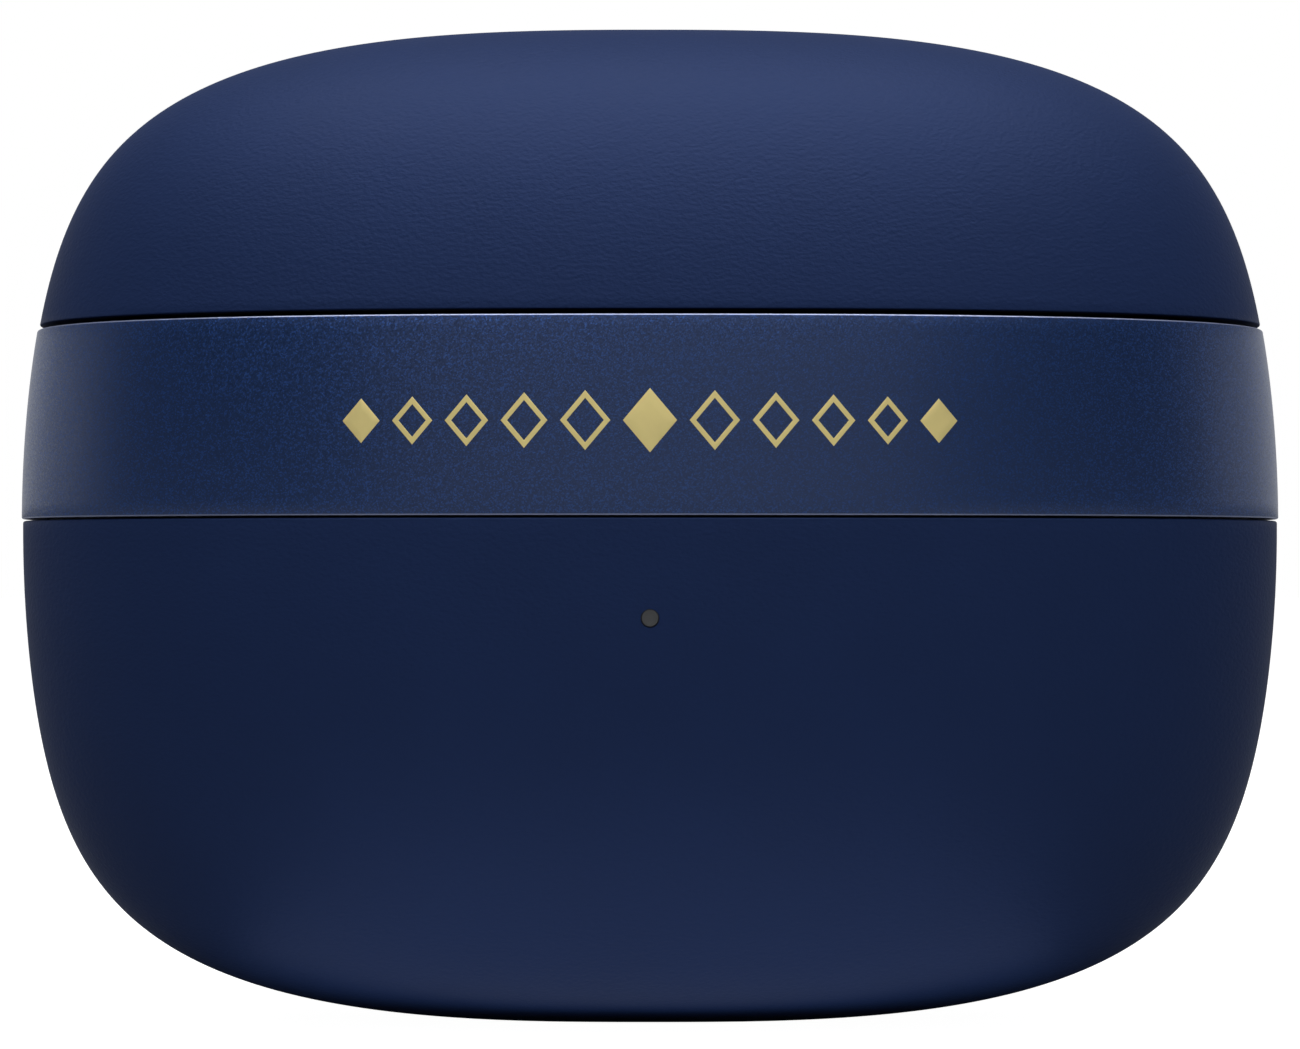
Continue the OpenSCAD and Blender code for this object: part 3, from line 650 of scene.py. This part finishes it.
def softTouch(name, colour, rimZ):  # rimZ: where the hand has rubbed the rim smoother
    finish = Finish(
        name, colour, Metallic=lacquer["metallic"],
        Specular_IOR_Level=lacquer["gloss"], Specular_Tint=lacquer["glossTint"],
    )
    lie = finish.node("ShaderNodeMapping", {}, {"Vector": finish.place, "Scale": lacquer["lie"]})
    creases = finish.cells(lacquer["grain"], "SMOOTH_F1", place=lie)
    wrinkles = finish.noise(lacquer["grain"], 3.0, 0.6, lie)
    dust = finish.noise(lacquer["fine"], 1.0)
    finish.bump(creases * 0.5 + wrinkles * 0.9 + dust * 0.12, lacquer["depth"])
    cloud = finish.noise(lacquer["mottle"], 3.0)
    rub = finish.between(finish.axis("Z"), rimZ[0] * mm, rimZ[1] * mm)
    dark, pale = shade(colour, 1 - lacquer["spread"]), shade(colour, 1 + lacquer["spread"])
    finish.feed("Base Color", finish.blend(cloud * 0.6 + wrinkles * 0.4, dark, pale))
    finish.feed("Roughness", wrinkles * 0.1 + cloud * 0.06 + (lacquer["rough"] - 0.08) - rub * 0.06)
    return finish


glitter = {  # metallic lacquer with a fine glitter, and a painted highlight along its two edges
    "flake": 0.06, "flakeFrom": 0.55, "flakeShade": 2.3, "tilt": 0.26, "grain": 0.12, "spread": 0.16,
    "rough": 0.37, "metallic": 0.5, "chamfer": 0.09, "edgeHighlight": (0.21, 0.24, 0.38),
    "coat": 0.7, "coatRough": 0.26, "gloss": 0.6, "glossTint": (0.62, 0.74, 1.0, 1.0),
}


def satinFlake(name, colour):
    finish = Finish(
        name, colour, Coat_Roughness=glitter["coatRough"], Coat_Weight=glitter["coat"],
        Specular_IOR_Level=glitter["gloss"], Specular_Tint=glitter["glossTint"],
    )
    flake = finish.cells(glitter["flake"], output="Color")
    lot = finish.node("ShaderNodeSeparateXYZ", {}, {0: flake}, 0)
    bright = finish.between(lot, glitter["flakeFrom"], 1.0)
    height = finish.axis("Z")
    low, high, width = seams["bandBottom"] * mm, seams["bandTop"] * mm, glitter["chamfer"] * mm
    # painted highlight: a lighter colour on the band's two chamfered edges, standing in for the light they
    # catch
    edge = finish.between(height, low + width, low + width * 0.4)
    edge = edge + finish.between(height, high - width, high - width * 0.4)
    edge = edge * finish.between(height, high - 0.004 * mm, high - 0.012 * mm)  # not on the flat top
    dark, pale = shade(colour, 1 - glitter["spread"]), shade(colour, 1 + glitter["spread"])
    base = finish.blend(finish.noise(glitter["grain"], 2.0), dark, pale)
    base = finish.blend(bright, base, shade(colour, glitter["flakeShade"]))
    # the painted highlight is laid into the base colour along the edges
    finish.feed("Base Color", finish.blend(edge, base, glitter["edgeHighlight"]))
    finish.feed("Metallic", bright * 0.25 + glitter["metallic"])
    finish.feed("Roughness", lot * 0.12 + (glitter["rough"] - 0.06))
    normal = finish.node("ShaderNodeNewGeometry", {}, {}, "Normal")
    lean = finish.node("ShaderNodeVectorMath", {"operation": "SUBTRACT"}, {0: flake, 1: (0.5, 0.5, 0.5)})
    lean = finish.node("ShaderNodeVectorMath", {"operation": "SCALE"}, {0: lean, "Scale": glitter["tilt"]})
    normal = finish.node("ShaderNodeVectorMath", {"operation": "ADD"}, {0: normal, 1: lean})
    finish.feed("Normal", finish.node("ShaderNodeVectorMath", {"operation": "NORMALIZE"}, {0: normal}))
    return finish


def moulded(name, colour, rough=0.5, grain=0.12, depth=5, contrast=0.08, **fixed):
    # plastic with a spark-eroded skin
    finish = Finish(name, colour, **fixed)
    fine = finish.noise(grain, 2.0, 0.6)
    broad = finish.noise(6.0, 3.0)
    finish.bump(fine, depth)
    dark, pale = shade(colour, 1 - contrast), shade(colour, 1 + contrast)
    finish.feed("Base Color", finish.blend(broad * 0.7 + fine * 0.3, dark, pale))
    finish.feed("Roughness", fine * 0.12 + broad * 0.08 + (rough - 0.1))
    return finish


def metal(name, colour, rough=0.3, brushed="X", stretch=14, depth=1.2, tarnish=0.12, metallic=1.0):
    # drawn, rolled or turned metal, with its lines along the brushed axis
    finish = Finish(name, colour, Metallic=metallic)
    scales = [stretch if axis != brushed else 1 for axis in "XYZ"]
    along = finish.node("ShaderNodeMapping", {}, {"Vector": finish.place, "Scale": scales})
    lines = finish.noise(0.9, 3.0, 0.6, along)
    stain = finish.noise(1.6, 3.0)
    finish.bump(lines, depth)
    finish.feed("Base Color", finish.blend(stain, shade(colour, 1 - tarnish), shade(colour, 1 + tarnish)))
    finish.feed("Roughness", lines * 0.16 + stain * 0.1 + (rough - 0.12))
    return finish


def circuitBoard(name, colour):  # solder mask over copper tracks
    finish = Finish(name, colour, Specular_IOR_Level=0.55)
    tracks = finish.node("ShaderNodeTexBrick", {"offset": 0.37, "squash": 1.6}, {
        "Vector": finish.place, "Scale": 1 / (1.9 * mm), "Mortar Size": 0.09, "Mortar Smooth": 0.1,
        "Color1": (0, 0, 0, 1), "Color2": (0, 0, 0, 1), "Mortar": (1, 1, 1, 1)}, "Fac")
    pads = finish.between(finish.cells(1.3), 0.12, 0.16, 1.0, 0.0)
    weave = finish.noise(0.3, 2.0)
    mask = finish.blend(tracks, shade(colour, 0.9), shade(colour, 1.7))
    finish.feed("Base Color", finish.blend(pads, mask, (0.75, 0.62, 0.3)))
    finish.feed("Metallic", pads)
    finish.feed("Roughness", weave * 0.15 + 0.26)
    finish.bump(tracks * 0.8 + weave * 0.2, 14)
    return finish


def wound(name, colour, pitch):  # wire wound about the coil's own axis, with painted shade between the turns
    finish = Finish(name, colour, Metallic=0.9)
    low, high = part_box("charge_coil")
    centre = (low + high) / 2
    moved = finish.node("ShaderNodeMapping", {}, {
        "Vector": finish.place, "Location": (-centre.x, 0, -centre.z), "Scale": (1, 0, 1)})
    reach = finish.node("ShaderNodeVectorMath", {"operation": "LENGTH"}, {0: moved}, "Value")
    turns = finish.waves(reach * (2 * math.pi / (pitch * mm)))
    # painted shade: the colour darkens where the bump sinks between turns
    finish.feed("Base Color", finish.blend(turns, shade(colour, 0.45), colour))
    finish.feed("Roughness", 0.45 - turns * 0.15)
    finish.bump(turns, 60)
    return finish


def sponge(name, colour):  # open-cell foam, with painted shade in its pores
    finish = Finish(name, colour, Roughness=0.9)
    pores = finish.cells(0.35, "DISTANCE_TO_EDGE")
    depth = finish.between(pores, 0.02, 0.3)
    # painted shade: darker towards the middle of each pore, lighter on the cell walls
    finish.feed("Base Color", finish.blend(depth, shade(colour, 1.5), shade(colour, 0.6)))
    finish.bump(pores, 120)
    return finish


navy = (0.0098, 0.0230, 0.0800)
finishes = {
    "soft_touch_lid": softTouch("softTouchLid", navy, (36.4, 35.9)),
    "soft_touch_base": softTouch("softTouchBase", navy, (25.2, 25.7)),
    "satin_band": satinFlake("satinBand", (0.0064, 0.0255, 0.0990)),
    "inner_plastic": moulded("innerPlastic", (0.0085, 0.0160, 0.0450), 0.5, 0.14, 7, 0.08,
        Specular_IOR_Level=0.16, Specular_Tint=(0.65, 0.75, 1.0, 1.0)),
    "frame_plastic": moulded("framePlastic", (0.022, 0.025, 0.032), 0.55),
    "button_plastic": moulded("buttonPlastic", (0.024, 0.038, 0.092), 0.4, 0.16, 3, Specular_IOR_Level=0.3),
    "hinge_steel": metal("hingeSteel", (0.36, 0.38, 0.42), 0.3, "X"),
    "screw_steel": metal("screwSteel", (0.48, 0.49, 0.5), 0.3, "Z", 6),
    "board_laminate": circuitBoard("boardLaminate", (0.008, 0.035, 0.05)),
    "chip_black": moulded("chipBlack", (0.012, 0.012, 0.014), 0.48, 0.08, 4),
    "component_ceramic": moulded("componentCeramic", (0.32, 0.22, 0.13), 0.4, 0.1, 3, 0.2),
    "led_package": moulded("ledPackage", (0.8, 0.78, 0.7), 0.3, 0.1, 2),
    "smoke_lens": moulded("smokeLens", (0.045, 0.047, 0.05), 0.24, 0.2, 0.6, 0.1, IOR=1.49),
    "battery_pouch": metal("batteryPouch", (0.55, 0.56, 0.58), 0.38, "X", 3, 9),
    "foam": sponge("foam", (0.05, 0.05, 0.055)),
    "lead_insulation": moulded("leadInsulation", (0.35, 0.02, 0.02), 0.38, 0.2, 3),
    "connector_white": moulded("connectorWhite", (0.72, 0.7, 0.64), 0.42, 0.12, 3),
    "socket_steel": metal("socketSteel", (0.56, 0.57, 0.58), 0.26, "Y", 8),
    "socket_insulator": moulded("socketInsulator", (0.018, 0.018, 0.02), 0.45, 0.1, 3),
    "gold_contact": metal("goldContact", (0.78, 0.56, 0.25), 0.26, "Z", 5, 0.6, 0.08),
    "spring_steel": metal("springSteel", (0.5, 0.5, 0.5), 0.3, "X", 2),
    "copper_wire": wound("copperWire", (0.72, 0.3, 0.13), 0.32),
    "ferrite": moulded("ferrite", (0.035, 0.033, 0.032), 0.5, 0.2, 6, 0.2),
    "flex_film": moulded("flexFilm", (0.38, 0.14, 0.02), 0.3, 0.3, 3, 0.15),
    "magnet_nickel": metal("magnetNickel", (0.6, 0.58, 0.54), 0.24, "X", 3),
    "bumper_rubber": moulded("bumperRubber", (0.015, 0.015, 0.016), 0.7, 0.1, 6),
}
ornamentGold = metal("ornamentGold", (0.86, 0.72, 0.30), 0.42, "X", 3, 1.5, 0.1, metallic=0.55)


def paint(piece, finish):
    piece.data.materials.clear()
    piece.data.materials.append(finish.material)


paint(lidShell, finishes["soft_touch_lid"])
paint(lowerShell, finishes["soft_touch_base"])
paint(bandShell, finishes["satin_band"])
paint(liner, finishes["inner_plastic"])
paint(lightLens, finishes["smoke_lens"])
paint(bandOrnament, ornamentGold)
for piece in springs:
    paint(piece, finishes["spring_steel"])
for node in nodes.values():
    for place in node.material_slots:
        place.material = finishes[place.material.name.split(".")[0]].material
print("finishes laid on", len(nodes), "nodes")

# ---- Stage ----

studio = {"floorSize": 6.0, "floorDrop": 0.03, "floorTone": 0.36, "paperTone": 0.3, "floorGlow": 0.985}
bpy.ops.object.select_all(action="DESELECT")
bpy.ops.mesh.primitive_plane_add(size=studio["floorSize"], location=(0, 0, -studio["floorDrop"] * mm))
floor = bpy.context.object
floor.name = "floor"
floorFinish = Finish("floorPaper", (0.8, 0.8, 0.8))
floorTree = floorFinish.tree
floorTree.nodes.remove(floorFinish.shader)
paper = floorFinish.node("ShaderNodeBsdfDiffuse", {}, {"Color": grey(studio["floorTone"])})
thinPaper = floorFinish.node("ShaderNodeBsdfDiffuse", {}, {"Color": grey(studio["paperTone"])})
glow = floorFinish.node("ShaderNodeEmission", {}, {"Strength": studio["floorGlow"]})
litPaper = floorFinish.node("ShaderNodeAddShader", {}, {0: thinPaper, 1: glow})
seen = floorFinish.node("ShaderNodeLightPath", {}, {}, "Is Camera Ray")
mixed = floorFinish.node("ShaderNodeMixShader", {}, {0: seen, 1: paper, 2: litPaper})
floorTree.links.new(mixed.socket, floorTree.nodes["Material Output"].inputs["Surface"])
paint(floor, floorFinish)

world = bpy.data.worlds.new("studio")
bpy.context.scene.world = world
world.use_nodes = True


class Sky(Finish):
    def __init__(self, tree):
        self.tree = tree


# the room is bright behind and beside the case, dim in front of it and dimmer overhead
room = {"front": 0.1, "back": 0.78, "farBack": 0.7, "overhead": 0.4}
sky = Sky(world.node_tree)
direction = sky.node("ShaderNodeTexCoord", {}, {}, "Generated")
towardBack = sky.node("ShaderNodeSeparateXYZ", {}, {0: direction}, 1)
upward = sky.node("ShaderNodeSeparateXYZ", {}, {0: direction}, 2)
sidesAndBack = (
    sky.between(towardBack, -0.5, 0.05, room["front"], room["back"])
    * sky.between(towardBack, 0.5, 0.9, 1.0, room["farBack"])
    * sky.between(upward, 0.08, 0.4, 1.0, room["overhead"])
)
isSeen = sky.node("ShaderNodeLightPath", {}, {}, "Is Camera Ray")
strength = sidesAndBack * (1 - isSeen) + isSeen
background = sky.tree.nodes["Background"]
sky.tree.links.new(strength.socket, background.inputs["Strength"])
background.inputs["Color"].default_value = grey(1)

lamps = {  # places and sizes in metres
    "overheadSoftbox": {"at": (0, -0.11, 0.42), "aim": (0, 0, 0.04), "wide": 0.42, "tall": 0.36, "glow": 5.3},
    "floorCard": {
        "at": (0, -0.0168, 0.0004), "aim": (0, -0.0168, 0.5), "wide": 0.044, "tall": 0.022, "glow": 0.64},
    "frontFill": {"at": (0, -0.56, 0.20), "aim": (0, 0, 0.03), "wide": 0.42, "tall": 0.40, "glow": 0.42},
}
for name, lamp in lamps.items():
    bpy.ops.object.light_add(type="AREA", location=lamp["at"])
    light = bpy.context.object
    light.name = name
    light.data.shape, light.data.size, light.data.size_y = "RECTANGLE", lamp["wide"], lamp["tall"]
    light.data.energy = lamp["glow"] * math.pi * lamp["wide"] * lamp["tall"]
    light.rotation_euler = (Vector(lamp["at"]) - Vector(lamp["aim"])).to_track_quat("Z", "Y").to_euler()
    light.visible_camera = False
print("studio lit")
